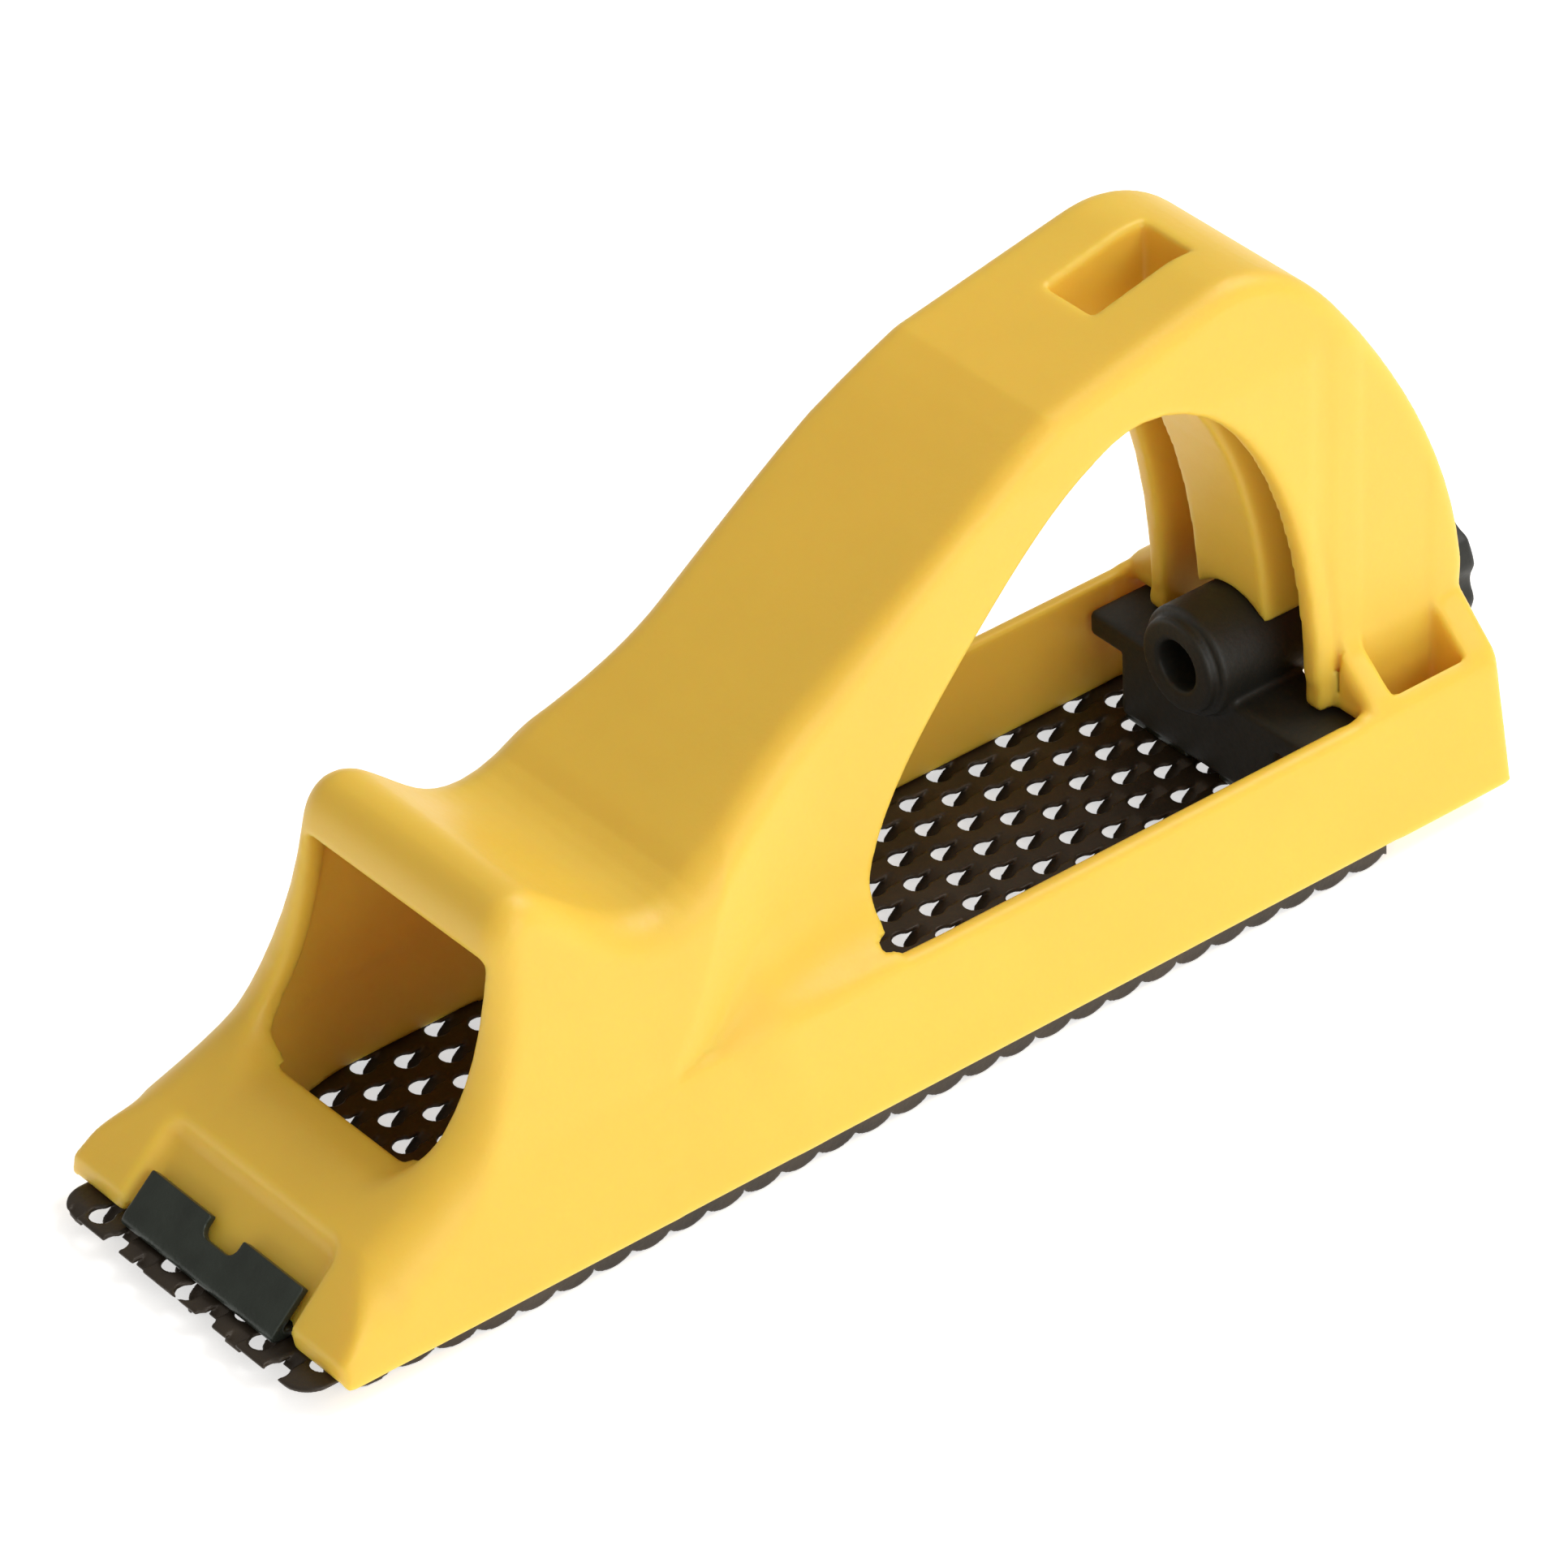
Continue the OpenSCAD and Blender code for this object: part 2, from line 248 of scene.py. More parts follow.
def settle(values, place, rounds=2):
    """Moves the net's vertices onto the surface, along the field's slope.

    Where the field is nearly flat, and at each step, the move is held back."""
    flattest, longest = 0.25, 0.5
    slopes = np.gradient(values)
    for _ in range(rounds):
        slope = np.stack([sample(s, place) for s in slopes], axis=1)
        steep = np.maximum((slope ** 2).sum(axis=1), flattest)
        step = sample(values, place) / steep
        place = place - np.clip(step, -longest, longest)[:, None] * slope
    return place


def drop_crumbs(place, quads):
    """Leaves out any loose island of fewer than SMALLEST_ISLAND faces."""
    label = np.arange(len(place))
    ends = np.concatenate([quads[:, [0, 1]], quads[:, [1, 2]], quads[:, [2, 3]]])
    while True:
        a, b = label[ends[:, 0]], label[ends[:, 1]]
        least = np.minimum(a, b)
        fresh = label.copy()
        np.minimum.at(fresh, a, least)
        np.minimum.at(fresh, b, least)
        fresh = fresh[fresh]
        if np.array_equal(fresh, label):
            break
        label = fresh
    sizes = np.bincount(label[quads[:, 0]], minlength=len(place))
    quads = quads[sizes[label[quads[:, 0]]] >= SMALLEST_ISLAND]
    used = np.zeros(len(place), bool)
    used[quads.ravel()] = True
    number = np.cumsum(used) - 1
    return place[used], number[quads]


def mesh_object(name, vertices, faces, soft=True):
    """A mesh object from points in millimetres and faces of one size."""
    mesh = bpy.data.meshes.new(name)
    vertices = np.asarray(vertices, np.float64)
    faces = np.asarray(faces, np.int64)
    mesh.vertices.add(len(vertices))
    mesh.vertices.foreach_set("co", (vertices * MM).ravel().astype(np.float32))
    sides = faces.shape[1]
    mesh.loops.add(faces.size)
    mesh.loops.foreach_set("vertex_index", faces.ravel().astype(np.int32))
    mesh.polygons.add(len(faces))
    mesh.polygons.foreach_set("loop_start", np.arange(0, faces.size, sides, dtype=np.int32))
    mesh.polygons.foreach_set("loop_total", np.full(len(faces), sides, np.int32))
    mesh.update(calc_edges=True)
    mesh.validate()
    if soft:
        mesh.polygons.foreach_set("use_smooth", np.ones(len(mesh.polygons), bool))
    obj = bpy.data.objects.new(name, mesh)
    bpy.context.scene.collection.objects.link(obj)
    return obj


def solid(name, low, high, step, field, mirror=False):
    """A piece from a distance field over the box low..high, on a grid of step.

    With mirror, the field is worked out for y >= 0 only and copied across."""
    axes = []
    for n in range(3):
        start = 0 if mirror and n == 1 else low[n] - 2 * step
        axes.append(np.arange(start, high[n] + 2.5 * step, step))
    x, y, z = axes
    values = field(x[:, None, None], y[None, :, None], z[None, None, :])
    values = np.ascontiguousarray(np.broadcast_to(values, [len(a) for a in axes]))
    start = np.array([x[0], y[0], z[0]])
    if mirror:
        values = np.concatenate([values[:, :0:-1, :], values], axis=1)
        start[1] = -y[-1]
    values = values / step
    place, quads = surface_net(values)
    place = settle(values, place)
    all_faces = len(quads)
    place, quads = drop_crumbs(place, quads)
    print("SOLID", name, len(quads), "faces, dropped", all_faces - len(quads))
    return mesh_object(name, place * step + start, quads)


# ---------------------------------------------------------------- the body

# The side outline's upper edge (X, Z), from the ramp back to the heel
RAMP_TOP = (70, 12.1)
HORN_FRONT = (51.9, 37.3)
HORN_BACK = (45.3, 41.2)
STRUT_FOOT = (26, 35.6)
STRUT_HEAD = (-21, 64.4)
CROWN = (-42, 69.1)
NAPE = (-58, 61.8)
LEG_BACK = (HEEL_X, 24.8)
TOP_LINE = (
    [RAMP_TOP]
    + curve(RAMP_TOP, (61, 16.3), (53.6, 18.8), HORN_FRONT)
    + curve(HORN_FRONT, (51.5, 41.3), (48.5, 43.3), HORN_BACK)
    + curve(HORN_BACK, (40, 37.3), (34.5, 29.3), STRUT_FOOT)
    + curve(STRUT_FOOT, (12, 42.8), (-8, 58.3), STRUT_HEAD)
    + [CROWN]
    + curve(CROWN, (-47, 70.3), (-53, 68.3), NAPE)
    + curve(NAPE, (-64.5, 52.8), (-73, 39.3), LEG_BACK)
)
# The grip opening's edge (X, Z), from its front over the top to the leg
GRIP_FRONT = (4.3, RIM_Z)
GRIP_MID = (-9, 43.1)
GRIP_TOP = (-32, 59.3)
GRIP_REAR = (LEG_X, LEG_FOOT_Z)
GRIP_LINE = (
    [GRIP_FRONT]
    + curve(GRIP_FRONT, (5.2, 27.3), (-2.5, 35.8), GRIP_MID)
    + curve(GRIP_MID, (-16, 50.8), (-24, 59.3), GRIP_TOP)
    + curve(GRIP_TOP, (-43, 59.3), (-54.5, 44.8), GRIP_REAR)
)
# The horn's sides lean in by HORN_LEAN per millimetre of height. The heel
# face leans in by HEEL_LEAN, from HEEL_UPRIGHT_Z down over HEEL_LEAN_H.
HORN_LEAN = 0.145
HEEL_LEAN = 1.5
HEEL_UPRIGHT_Z = 24
HEEL_LEAN_H = 21
# Outside the blade the side walls come down by SKIRT_DROP
SKIRT_Y = BLADE_HALF + 0.95
SKIRT_EDGE = 0.2
SKIRT_DROP = 0.2
# The opening in the middle runs from the leg to OPEN_FRONT, the room under
# the ramp from X = 0 to ROOM_FRONT, ROOM_TAPER narrower per side at its front
OPEN_FRONT = 6.3
ROOM_FRONT = 59.8
ROOM_TAPER = 1.9
ROOM_TOP_Z = 45.8
HANDLE_ROOM_FRONT = 28
# In front of this the ramp and the horn make the side walls too
LOW_PART_FRONT = 38
# Round seat of the washer in the heel face
SEAT_R = 10.2
SEAT_DEPTH = 0.4
SCREW_HOLE_R = SCREW_R + 0.06
# Rib in the leg, arched over the slider's boss
RIB_HALF = 5.4
RIB_SUNK = 0.6
RIB_FOOT_Z = 21.6
RIB_FRONT = -30
RIB_ARCH_R = 6.5
# Window in the horn's front
WINDOW_HALF = 14
WINDOW_REAR = 48
WINDOW_TOP = 36.1
LEDGE_Z = 14.3
# Hanging slot through the crown
SLOT_REAR, SLOT_FRONT = -46.4, -33.6
SLOT_HALF = 3.5
SLOT_FLOOR_Z, SLOT_TOP_Z = 50, 90
# Recess for the front clip
RECESS_HALF = 13.7
RECESS_REAR = 70.0
RECESS_GAP = 1.1
UNDER_NOSE_REAR = 66
UNDER_NOSE_H = 1.2
# Groove beside the bead on the leg's front edge
GROOVE_INSET = 2.5
GROOVE_FRONT = -42


def side_face(y, z):
    """Distance outside the leaning side wall."""
    lean = (SOLE_HALF - RIM_HALF) / (RIM_Z - SOLE_Z)
    half = np.where(
        z < RIM_Z,
        RIM_HALF + lean * (RIM_Z - z),
        RIM_HALF - HORN_LEAN * (z - RIM_Z),
    )
    return (y - half) / math.hypot(1, lean)


def heel_face(x, z):
    """Distance behind the heel, whose face leans in towards the sole."""
    down = np.clip((HEEL_UPRIGHT_Z - z) / HEEL_LEAN_H, 0, 1)
    return HEEL_X + HEEL_LEAN * down - x


def underside(y, z):
    """Distance below the sole, which is a little lower outside the blade."""
    return SOLE_Z - SKIRT_DROP * smooth(y, SKIRT_Y - SKIRT_EDGE, SKIRT_Y) - z


def tub_field(x, y, z):
    """The low part all round: side walls and heel, up to the rim."""
    sole_r, rim_r = 2.6, 1.1
    corner_r = 0.6 + 3.4 * smooth(-x, 65, 71)
    heel = both(heel_face(x, z), underside(y, z), sole_r)
    field = both(heel, side_face(y, z), corner_r)
    return both(field, z - RIM_Z, rim_r)


def upper_field(x, y, z, profile):
    """Ramp, horn, strut, crown and leg in one sweep of the side outline.

    It widens from the handle to the horn, and past X = 41 only the side wall
    bounds it. The rounding of its long edges changes along the tool."""
    taper = smooth(x, 9, 37)
    half = HANDLE_HALF + (RIM_HALF - HANDLE_HALF) * taper + 9 * smooth(x, 33, 41)
    side = np.maximum(side_face(y, z), y - half)
    rounding = (
        1.4 + 0.8 * smooth(x, -68, -52) + 1.8 * smooth(x, -10, 25) - 0.9 * smooth(x, 38, 46)
        + 1.7 * smooth(x, 53, 60) - 3.9 * smooth(x, 69, 75)
    )
    return both(profile, side, rounding)


def flank_field(x, y, z):
    """The shoulder that slopes from the leg to the rim over the heel."""
    run, rise = 7, 6
    slope = (rise * (y - RIM_HALF) + run * (z - RIM_Z)) / math.hypot(rise, run)
    field = both(slope, side_face(y, z), 1.0)
    return both(field, both(heel_face(x, z), x - GUSSET_X, 0.6), 1.4)


def hollow_fields(x, y, z):
    """Everything that is open inside the body, each with its edge rounding."""
    profile_in = inset(TOP_LINE, -SKIN)
    foot_z = -1
    front_half = INSIDE_HALF - ROOM_TAPER * smooth(x, 46, 58)
    # Inside the horn and the lower strut
    horn_in = [p for p in profile_in if 3 < p[0] < ROOM_FRONT]
    horn_end = [(0, ROOM_TOP_Z), (0, foot_z)]
    horn_room = outline([(ROOM_FRONT, foot_z)] + horn_in + horn_end, x, z)
    half = (HANDLE_HALF - SKIN) + (front_half - HANDLE_HALF + SKIN) * smooth(x, 7, 33)
    lean = np.maximum(z - RIM_Z, 0) * HORN_LEAN
    yield both(horn_room, y - half + lean, 1.5), 0.5
    # Inside the handle and the leg
    handle_in = [p for p in profile_in if p[0] < HANDLE_ROOM_FRONT]
    handle_end = [(HEEL_WALL_X, foot_z), (HANDLE_ROOM_FRONT, foot_z)]
    handle_room = outline(handle_in + handle_end, x, z)
    yield both(handle_room, y - HANDLE_HALF + SKIN, 2.4), 0.4
    # The open middle between the side walls
    middle = (OPEN_FRONT, INSIDE_HALF, RIM_Z + 1)
    yield box_field(x, y, z, (LEG_X, ACROSS, BELOW), middle, 0.5), 0.6
    # Under the deck in front of it
    deck = both(np.maximum(-x, x - ROOM_FRONT), z - RIM_Z + SKIN, 0.5)
    yield both(deck, y - front_half, 0.5), 0.4
    # Under the leg, beside it, and the pocket behind the gusset
    under = (LEG_X + 1, INSIDE_HALF, LEG_FOOT_Z)
    yield box_field(x, y, z, (POCKET_X, ACROSS, BELOW), under, 0.3), 0.4
    beside = (LEG_X + 1, INSIDE_HALF, ABOVE)
    yield box_field(x, y, z, (GUSSET_X, HANDLE_HALF, LEG_FOOT_Z - 1), beside, 0.8), 0.6
    pocket = (POCKET_X, INSIDE_HALF + 0.6, ABOVE)
    yield box_field(x, y, z, (HEEL_WALL_X, HANDLE_HALF, BELOW), pocket, 0.6), 0.5


def rib_field(x, y, z, profile, grip):
    """The rib in the middle of the leg, arched over the slider's boss."""
    field = both(profile + RIB_SUNK, y - RIB_HALF, 0.8)
    field = both(field, RIB_FOOT_Z - z, 0.5)
    field = both(field, x - RIB_FRONT, 0.5)
    field = less(field, grip, 0.6)
    return less(field, bar_field(x, y, z, HEEL_WALL_X, LEG_X + 4, RIB_ARCH_R), 0.4)


def recess_field(x, y, z):
    """Room for the front clip: in the ramp above, and under the nose."""
    floor = (NOSE_X + SHEET_TOP + RECESS_GAP - x - z) / math.sqrt(2)
    above = both(floor, RECESS_REAR - x, 0.6)
    above = both(above, y - RECESS_HALF, 2.0)
    under_end = (TOE_X + 9, RECESS_HALF, SHEET_TOP + UNDER_NOSE_H)
    under = box_field(x, y, z, (UNDER_NOSE_REAR, ACROSS, BELOW), under_end, 0.3)
    return np.minimum(above, under)


def window_field(x, y, z):
    """The window in the horn's front, rounded at its lower corners."""
    lower = both(y - WINDOW_HALF, LEDGE_Z - z, 5)
    shape = both(lower, z - WINDOW_TOP, 0.8)
    return both(shape, WINDOW_REAR - x, 0.5)


def groove_field(x, y, z, grip):
    """The groove beside the bead on the leg's front edge, fading upwards."""
    none = -0.2
    size = 0.65 * (1 - smooth(z, 30, 50)) + none
    size = np.where(x < GROOVE_FRONT, size, none)
    return np.hypot(grip - GROOVE_INSET, y - HANDLE_HALF - 0.1) - size


def body_field(x, y, z):
    """The whole moulding."""
    toe_top = RAMP_TOP[1] - TOE_X + RAMP_TOP[0]
    toe = [(TOE_X, BELOW), (TOE_X, toe_top)]
    top = outline(toe + TOP_LINE + [(HEEL_X, BELOW)], x, z)
    top = both(top, heel_face(x, z), 0.2)
    grip = outline(GRIP_LINE, x, z)
    # The two outer parts, with a fillet along the strut that fades out forward
    upper = both(upper_field(x, y, z, top), underside(y, z), 0.5)
    low_part = np.minimum(tub_field(x, y, z), flank_field(x, y, z))
    low_part = both(low_part, x - LOW_PART_FRONT, 0.1)
    fillet = 0.01 + 1.2 * smooth(x, -73, -69) + 7 * smooth(x, -12, 10)
    field = either(upper, low_part, fillet * (1 - smooth(x, 19, 31)) + 0.01)
    # The grip opening, then the rooms inside, then the rib left in them
    opening = np.maximum(grip, RIM_Z - z)
    field = less(field, opening, 1.2)
    for room, rounding in hollow_fields(x, y, z):
        field = less(field, room, rounding)
    field = np.minimum(field, rib_field(x, y, z, top, grip))
    # The cuts through the finished walls
    slot_low, slot_high = (SLOT_REAR, ACROSS, SLOT_FLOOR_Z), (SLOT_FRONT, SLOT_HALF, SLOT_TOP_Z)
    field = less(field, box_field(x, y, z, slot_low, slot_high, 0.3), 0.5)
    field = less(field, window_field(x, y, z), 0.9)
    field = less(field, recess_field(x, y, z), 0.6)
    field = less(field, groove_field(x, y, z, grip), 0.3)
    field = less(field, bar_field(x, y, z, HEEL_X - 1, HEEL_WALL_X + 1, SCREW_HOLE_R), 0.3)
    field = less(field, bar_field(x, y, z, HEEL_X - 1, HEEL_X + SEAT_DEPTH, SEAT_R), 0.3)
    return np.maximum(field, SOLE_Z - SKIRT_DROP - z)


def make_body():
    piece = solid("body_moulding", BODY_LOW, BODY_HIGH, 0.5, body_field, mirror=True)
    finish(piece, "body", "body", "body_plastic")


# ---------------------------------------------------------------- the blade

# The sheet, and ROWS rows of holes on each side of the middle one
SHEET = 0.5
SHEET_BOTTOM = SHEET_TOP - SHEET
ROWS = 8
HOLE_R = 1.3
HOLE_REAR_MARGIN = 3.6
PLAN_CORNER_R = 3.2
# Scalloped lips along the sides, and where they stop short of the sheet's ends
LIP_T = 0.35
LIP_REAR_MARGIN = 3.2
LIP_FRONT = 74
# A tongue starts at TONGUE_REAR from its hole's middle and slopes down
# towards TONGUE_DROP below the sheet's top
TONGUE_DROP = 2.25
TONGUE_T = 0.55
TONGUE_REAR = -3.6


def nearest_hole(x, y, ahead):
    """Place of x, y against the nearest hole, measured from ahead of it."""
    best = np.full(np.broadcast(x, y).shape, np.inf)
    dx, dy = best.copy(), best.copy()
    base = np.floor(y / ROW_PITCH)
    for k in (-1, 0, 1, 2):
        row = np.clip(base + k, -ROWS, ROWS)
        first = HOLE_PITCH / 2 - ROW_SHIFT * row
        step = np.round((x - ahead - first) / HOLE_PITCH)
        hole_x = first + HOLE_PITCH * step
        beyond = hole_x < REAR_X + HOLE_REAR_MARGIN
        hole_x = np.where(beyond, hole_x + HOLE_PITCH, hole_x)
        ex, ey = x - hole_x, y - row * ROW_PITCH
        far = (ex - ahead) ** 2 + ey ** 2
        closer = far < best
        best = np.where(closer, far, best)
        dx, dy = np.where(closer, ex, dx), np.where(closer, ey, dy)
    return dx, dy


def tongue_top(dx):
    """Height of a tongue's upper face, at dx ahead of its hole's middle."""
    return SHEET_TOP - TONGUE_DROP * smooth(dx, -3.4, 0.6)


def lip_field(x, y, z, half):
    """Scalloped edge turned down along both long sides of the sheet."""
    scallop = np.sqrt(np.abs(np.sin(math.pi * x / (HOLE_PITCH / 2))))
    foot = 1.1 - 1.0 * scallop
    lip = np.maximum(np.abs(np.abs(y) - half + LIP_T) - LIP_T, foot - z)
    lip = np.maximum(lip, np.maximum(REAR_X + LIP_REAR_MARGIN - x, x - LIP_FRONT))
    return np.maximum(lip, z - SHEET_TOP + 0.2)


def blade_field(x, y, z):
    """Sheet with holes, a tongue punched down behind each, and side lips."""
    half = BLADE_HALF - 0.5 + 1.3 * smooth(-x, -72, -54)
    plan = both(np.abs(y) - half, np.maximum(REAR_X - x, x - FRONT_X), PLAN_CORNER_R)
    field = both(plan, np.maximum(SHEET_BOTTOM - z, z - SHEET_TOP), 0.15)
    field = either(field, lip_field(x, y, z, half), 0.3)
    # The dimple over each tongue, then the tongue itself
    dx, dy = nearest_hole(x, y, -HOLE_R)
    drop = tongue_top(dx)
    narrow = 0.8 - 0.5 * smooth(dx, -1.0, 0.1)
    dimple = np.maximum(np.maximum(np.abs(dy) - narrow, drop - z), np.abs(dx + 1.5) - 1.9)
    field = less(field, dimple, 0.15)
    broad = narrow + 0.45 * smooth(-dx, 0.1, 0.8)
    tongue = both(np.abs(dy) - broad, dx - 0.1, 0.1)
    plate = np.maximum(np.maximum(z - drop, drop - TONGUE_T - z), tongue)
    plate = np.maximum(plate, np.maximum(TONGUE_REAR - dx, plan + 0.2))
    # Tongues of holes cut by the front edge are shorter
    shorter = np.maximum(plate, SHEET_TOP - 1.1 - z)
    plate = np.where(x - dx > FRONT_X - 1.0, shorter, plate)
    field = np.minimum(field, plate)
    # The holes, kept off the tongues that hang in them
    hx, hy = nearest_hole(x, y, 0)
    hole = np.maximum(np.hypot(hx, hy) - HOLE_R, SHEET_BOTTOM - 0.4 - z)
    tongue_stop = np.where(hx < 0.15, tongue_top(hx), BELOW)
    hole = np.maximum(hole, np.where(np.abs(hy) < 0.9, tongue_stop - z, BELOW))
    return less(field, hole, 0.1)


def make_blade():
    wider = BLADE_HALF + 0.9
    start = np.array([REAR_X, -wider, 0.0])
    end = np.array([FRONT_X, wider, SHEET_TOP])
    piece = solid("blade_pressing", start, end, 0.2, blade_field)
    finish(piece, "blade", "blade", "blade_steel")


# ---------------------------------------------------------------- small parts

# Notch in the middle of each clip's upper edge
NOTCH_DEPTH = 2.1
NOTCH_HALF = 2.6
# The knob: lobes cut by flutes, a dished back, a pocket for the screw's head
KNOB_R = 9.5
LOBES = 8
FLUTE_AT = 10.9
FLUTE_R = 2.4
DISH_R = 6.2
DISH_DEPTH = 0.7
POCKET_R = 5.75
POCKET_DEPTH = 3.25
# The screw, threaded from just inside the heel wall to its end
HEAD_R = 5.65
HEAD_H = 3.2
SCREW_END = -53
THREAD_PITCH = 0.8
THREAD_DEPTH = 0.42
THREAD_REAR = -69.5
THREAD_FULL = -68.5


def clip_field(tip, way):
    """Distance from a folded clip over a nose at tip, facing way (1 is +X).

    Its profile runs along the foot on the sheet, round the bend and up the
    slope of 45 degrees to the point (ax, az)."""
    reach, foot, rise = 2.4, 7, 4.7
    lean = math.sqrt(2)
    ax, az = reach + 0.4 - rise, SHEET_TOP + rise + 0.3
    low_z = SHEET_TOP
    bend = curve((reach - 1.9, low_z), (reach + 0.2, low_z), (reach + 0.5, low_z + 0.9),
                 (reach - 1.3, low_z + 2.25))
    inner = curve((reach - 2.6, low_z + 1.9), (reach - 1.3, low_z + 1.1),
                  (reach - 1.6, low_z + 1), (reach - 3.2, low_z + 1), 6)
    profile = (
        [(reach - foot, low_z), (reach - 1.9, low_z)] + bend
        + [(ax, az), (ax - lean / 2, az - lean / 2)] + inner + [(reach - foot, low_z + 1)]
    )

    def field(x, y, z):
        u = (x - tip) * way
        along = ((u - ax) - (z - az)) / lean
        shape = both(outline(profile, u, z), np.abs(y) - CLIP_HALF, 0.25)
        notch = both(along - NOTCH_DEPTH, np.abs(y) - NOTCH_HALF, 1.2)
        return less(shape, notch, 0.25)

    return field


def make_clips():
    for name, way in (("front_clip", 1), ("rear_clip", -1)):
        start, end = (np.array(c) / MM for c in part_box(name))
        tip = NOSE_X if way > 0 else REAR_X + NOSE_BACK
        piece = solid(name + "_strip", start, end, 0.16, clip_field(tip, way))
        finish(piece, "blade", name, "clip_steel")


def slider_field(x, y, z):
    """Boss, wings and foot of the black slider, with its bore and nut slot.

    The foot's rear face slopes at 45 degrees, x = line + z, over the rear clip."""
    boss_rear, boss_front, boss_r, tip_r = -66, -46.8, 6.2, 5.3
    wing_rear, wing_front, wing_half = -59, -49.6, 17
    wing_z, wing_top = 11.2, 14.2
    foot_z, neck_z, foot_half = SHEET_TOP + 1.2, 7.6, 12
    line = REAR_X + NOSE_BACK - SHEET_TOP - 1.1
    nut_rear, nut_front, nut_half = -62, -58, 4
    boss = bar_field(x, y, z, boss_rear, boss_front - 1.2, boss_r, 0.5)
    tip = bar_field(x, y, z, boss_front - 2, boss_front, tip_r, 0.4)
    boss = either(boss, tip, 0.2)
    wing_end = (wing_front, wing_half, wing_top)
    wings = box_field(x, np.abs(y), z, (wing_rear, ACROSS, wing_z), wing_end, 0.7)
    foot = outline([(wing_front, foot_z), (line + foot_z, foot_z), (line + neck_z, neck_z),
                    (line + neck_z, wing_z + 0.8), (wing_front, wing_z + 0.8)], x, z)
    foot = both(foot, np.abs(y) - foot_half, 0.5)
    field = either(np.minimum(wings, foot), boss, 0.9)
    bore = bar_field(x, y, z, boss_rear - 1, boss_front + 1, SCREW_R + 0.35)
    field = less(field, bore, 0.4)
    nut_end = (nut_front, nut_half, SCREW_Z + nut_half)
    nut = box_field(x, np.abs(y), z, (nut_rear, ACROSS, 0), nut_end, 0)
    return less(field, nut, 0.2)


def hexagon(y, z, r):
    """Distance outside a hexagon round the screw's axis."""
    y, z = np.abs(y), np.abs(z - SCREW_Z)
    flat = r * math.cos(math.pi / 6)
    return np.maximum(z - flat, z * 0.5 + y * math.cos(math.pi / 6) - flat)


def knob_field(x, y, z):
    """Lobed knob with soft edges, a dished back and a pocket for the head."""
    radial = np.hypot(y, z - SCREW_Z)
    turn = np.arctan2(y, z - SCREW_Z)
    lobe = 2 * math.pi / LOBES
    turn = (turn + lobe / 2) % lobe - lobe / 2
    rim = both(radial - KNOB_R, np.maximum(KNOB_REAR - x, x - KNOB_FRONT), 0.9)
    flute = np.hypot(radial * np.cos(turn) - FLUTE_AT, radial * np.sin(turn)) - FLUTE_R
    field = less(rim, flute, 0.7)
    dish = both(radial - DISH_R, x - KNOB_REAR - DISH_DEPTH, 0.3)
    field = less(field, dish, 0.4)
    pocket = np.maximum(hexagon(y, z, POCKET_R), KNOB_FRONT - POCKET_DEPTH - x)
    return less(field, pocket, 0.1)


def screw_field(x, y, z):
    """Threaded rod with a hexagonal head inside the knob."""
    head_x = KNOB_FRONT - HEAD_H
    radial = np.hypot(y, z - SCREW_Z)
    turn = np.arctan2(y, z - SCREW_Z) / (2 * math.pi)
    wave = np.abs(((x / THREAD_PITCH + turn) % 1) * 2 - 1)
    deep = THREAD_DEPTH * smooth(x, THREAD_REAR, THREAD_FULL)
    rod = both(radial - SCREW_R + deep * wave, np.maximum(head_x - x, x - SCREW_END), 0.4)
    head = both(hexagon(y, z, HEAD_R), np.maximum(head_x - x, x - head_x - HEAD_H), 0.3)
    return np.minimum(rod, head)


def make_tension_gear():
    for name, node, body, slot, step, field in (
        ("slider_moulding", "tension_slider", "slider", "black_plastic", 0.3, slider_field),
        ("knob_moulding", "knob", "screw", "black_plastic", 0.25, knob_field),
        ("screw_rod", "tension_screw", "screw", "zinc_steel", 0.14, screw_field),
    ):
        start, end = (np.array(c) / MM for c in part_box(node))
        piece = solid(name, start, end, step, field)
        finish(piece, body, node, slot)


# ---------------------------------------------------------------- materials

ROUGHNESS_SPREAD = 0.06
GRAIN_DEPTH = 0.2 * MM


def finish(piece, body, node, slot):
    """Materials and the frame's bookkeeping for one piece."""
    piece.data.materials.clear()
    piece.data.materials.append(MATERIALS[slot])
    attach(piece, body)
    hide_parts(node)


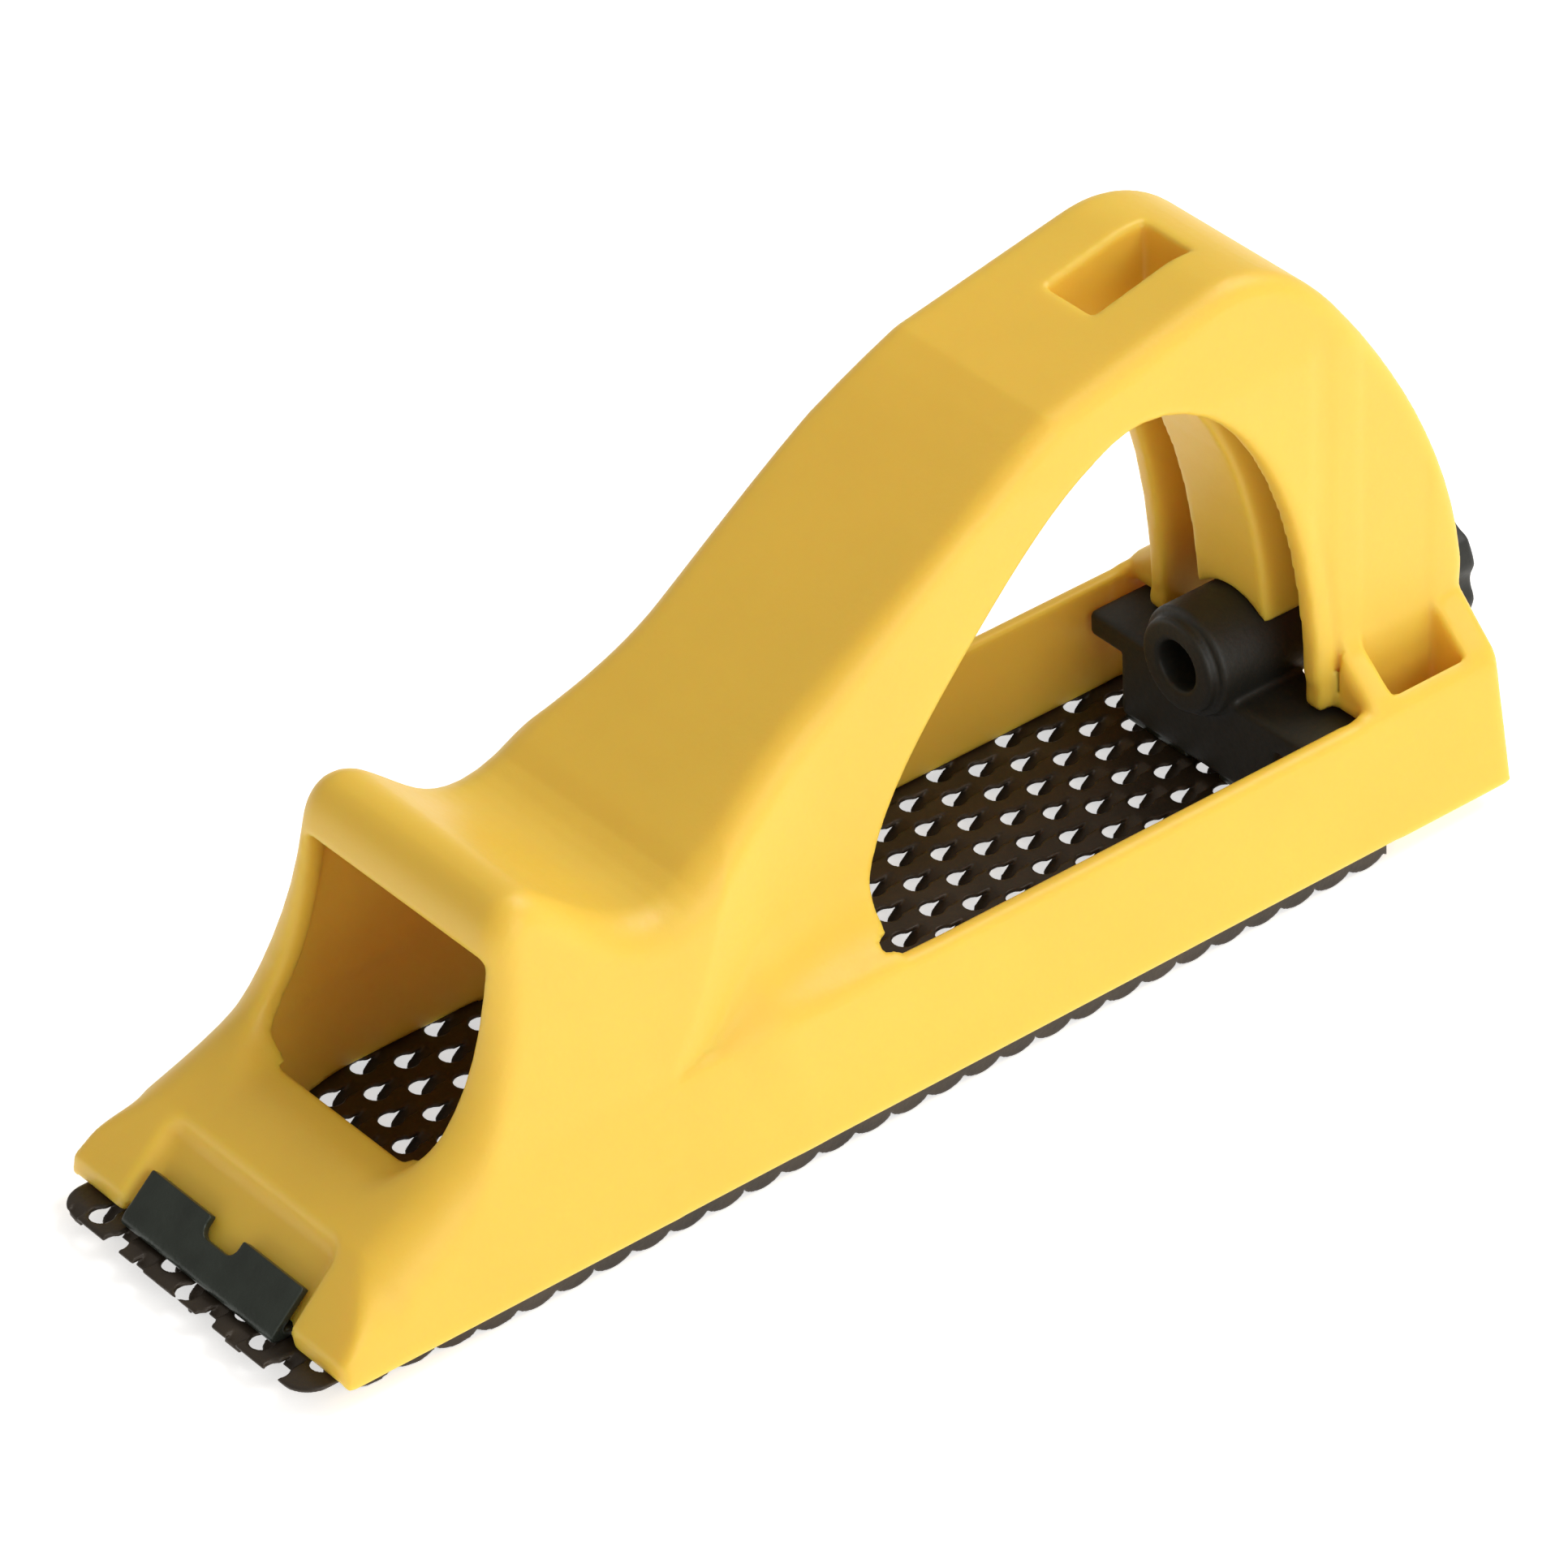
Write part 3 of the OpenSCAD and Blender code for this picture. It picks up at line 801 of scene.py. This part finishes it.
def material(name, color, roughness, vary, scale, bump, grain, metallic=0.0,
             subsurface=0.0, radius=0.0):
    """Colour that drifts softly over the surface, with a fine grain.

    The colour drifts by the share vary at the noise scale; bump and grain are
    the strength and the scale of the fine grain. Light reaches radius metres
    into a plastic with subsurface, red the furthest."""
    made = bpy.data.materials.new(name)
    made.use_nodes = True
    nodes, links = made.node_tree.nodes, made.node_tree.links
    shader = nodes["Principled BSDF"]
    shader.inputs["Metallic"].default_value = metallic
    if subsurface:
        shader.inputs["Subsurface Weight"].default_value = subsurface
        shader.inputs["Subsurface Radius"].default_value = (radius, radius * 0.45, radius * 0.08)
        shader.inputs["Subsurface Scale"].default_value = 1.0
    place = nodes.new("ShaderNodeTexCoord")
    drift = nodes.new("ShaderNodeTexNoise")
    drift.inputs["Scale"].default_value = scale
    drift.inputs["Detail"].default_value = 3
    links.new(place.outputs["Object"], drift.inputs["Vector"])
    ramp = nodes.new("ShaderNodeValToRGB")
    dark = [c * (1 - vary) for c in color]
    light = [min(1, c * (1 + vary)) for c in color]
    ramp.color_ramp.elements[0].position = 0.3
    ramp.color_ramp.elements[0].color = (*dark, 1)
    ramp.color_ramp.elements[1].position = 0.7
    ramp.color_ramp.elements[1].color = (*light, 1)
    links.new(drift.outputs["Fac"], ramp.inputs["Fac"])
    links.new(ramp.outputs["Color"], shader.inputs["Base Color"])
    fine = nodes.new("ShaderNodeTexNoise")
    fine.inputs["Scale"].default_value = grain
    fine.inputs["Detail"].default_value = 2
    links.new(place.outputs["Object"], fine.inputs["Vector"])
    rough = nodes.new("ShaderNodeMapRange")
    rough.inputs["To Min"].default_value = roughness - ROUGHNESS_SPREAD
    rough.inputs["To Max"].default_value = roughness + ROUGHNESS_SPREAD
    links.new(fine.outputs["Fac"], rough.inputs["Value"])
    links.new(rough.outputs["Result"], shader.inputs["Roughness"])
    lump = nodes.new("ShaderNodeBump")
    lump.inputs["Strength"].default_value = bump
    lump.inputs["Distance"].default_value = GRAIN_DEPTH
    links.new(fine.outputs["Fac"], lump.inputs["Height"])
    links.new(lump.outputs["Normal"], shader.inputs["Normal"])
    return made


MATERIALS = {
    "body_plastic": material("yellow_plastic", (0.84, 0.545, 0.062), 0.46, vary=0.03, scale=45,
                             bump=0.12, grain=1400, subsurface=0.4, radius=0.005),
    "blade_steel": material("dark_blade_steel", (0.036, 0.026, 0.017), 0.42, metallic=0.3,
                            vary=0.3, scale=160, bump=0.25, grain=1500),
    "clip_steel": material("phosphated_steel", (0.030, 0.038, 0.031), 0.32, metallic=0.4,
                           vary=0.2, scale=220, bump=0.25, grain=1600),
    "black_plastic": material("black_plastic", (0.012, 0.013, 0.010), 0.55, vary=0.12,
                              scale=90, bump=0.2, grain=1600),
    "zinc_steel": material("zinc_plated_steel", (0.60, 0.60, 0.57), 0.32, metallic=1.0,
                           vary=0.08, scale=300, bump=0.15, grain=1800),
}


# ---------------------------------------------------------------- studio

VIEW_AZIMUTH, VIEW_ELEVATION, VIEW_ROLL = 52.36, 35.55, -2.45
VIEW_AIM = (-15.16, -25.17, 4.14)
VIEW_DISTANCE = 926.2
VIEW_LENS = 206.616
# Name, place in metres, diameter in metres and power in watts of each lamp
LAMPS = (
    ("key", (0.0, 0.8, 0.38), 0.6, 2.6),
    ("fill", (-0.55, 0.15, 0.75), 0.6, 4.6),
)
LAMP_AIM = (0, 0, 0.02)
ROOM_COLOR = (1, 0.95, 0.88, 1)
ROOM_STRENGTH = 0.44
FLOOR_HALF = 3000
FLOOR_GLOW = 0.6


def make_camera():
    """A long lens from the front left, 36 degrees up."""
    angles = (VIEW_AZIMUTH, VIEW_ELEVATION, VIEW_ROLL)
    azimuth, elevation, roll = (math.radians(a) for a in angles)
    aim = Vector(VIEW_AIM) * MM
    distance = VIEW_DISTANCE * MM
    back = Vector((
        math.cos(elevation) * math.cos(azimuth),
        math.cos(elevation) * math.sin(azimuth),
        math.sin(elevation),
    ))
    right = Vector((-math.sin(azimuth), math.cos(azimuth), 0))
    up = back.cross(right)
    right_r = right * math.cos(roll) + up * math.sin(roll)
    up_r = up * math.cos(roll) - right * math.sin(roll)
    data = bpy.data.cameras.new("camera")
    data.sensor_width = 36
    data.lens = VIEW_LENS
    data.clip_start = 0.05
    data.clip_end = 20
    camera = bpy.data.objects.new("camera", data)
    turn = Matrix((right_r, up_r, back)).transposed().to_4x4()
    camera.matrix_world = Matrix.Translation(aim + back * distance) @ turn
    bpy.context.scene.collection.objects.link(camera)
    bpy.context.scene.camera = camera


def make_floor():
    """A pale, faintly lit table top that fills the view."""
    edge = FLOOR_HALF
    corners = [(-edge, -edge, 0), (edge, -edge, 0), (edge, edge, 0), (-edge, edge, 0)]
    floor = mesh_object("floor", corners, [(0, 1, 2, 3)], soft=False)
    made = bpy.data.materials.new("pale_floor")
    made.use_nodes = True
    shader = made.node_tree.nodes["Principled BSDF"]
    shader.inputs["Base Color"].default_value = (0.9, 0.9, 0.9, 1)
    shader.inputs["Roughness"].default_value = 0.9
    shader.inputs["Specular IOR Level"].default_value = 0.0
    shader.inputs["Emission Color"].default_value = (1, 1, 1, 1)
    shader.inputs["Emission Strength"].default_value = FLOOR_GLOW
    floor.data.materials.append(made)


def make_lights():
    """Warm room light, a lamp on the tool's left and one high over its heel."""
    world = bpy.data.worlds.new("studio")
    world.use_nodes = True
    background = world.node_tree.nodes["Background"]
    background.inputs["Color"].default_value = ROOM_COLOR
    background.inputs["Strength"].default_value = ROOM_STRENGTH
    bpy.context.scene.world = world
    bpy.context.scene.view_settings.view_transform = "Standard"
    for name, place, size, power in LAMPS:
        data = bpy.data.lights.new(name, "AREA")
        data.shape = "DISK"
        data.size = size
        data.energy = power
        lamp = bpy.data.objects.new(name, data)
        lamp.location = place
        aim = Vector(LAMP_AIM) - Vector(place)
        lamp.rotation_euler = aim.to_track_quat("-Z", "Y").to_euler()
        bpy.context.scene.collection.objects.link(lamp)


make_camera()
make_floor()
make_lights()
make_body()
make_blade()
make_clips()
make_tension_gear()
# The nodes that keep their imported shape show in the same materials
for row in frame["record"]["subparts"]:
    node = frame["nodes"][row["node"]]
    node.data.materials.clear()
    node.data.materials.append(MATERIALS[row["material_slot"]])
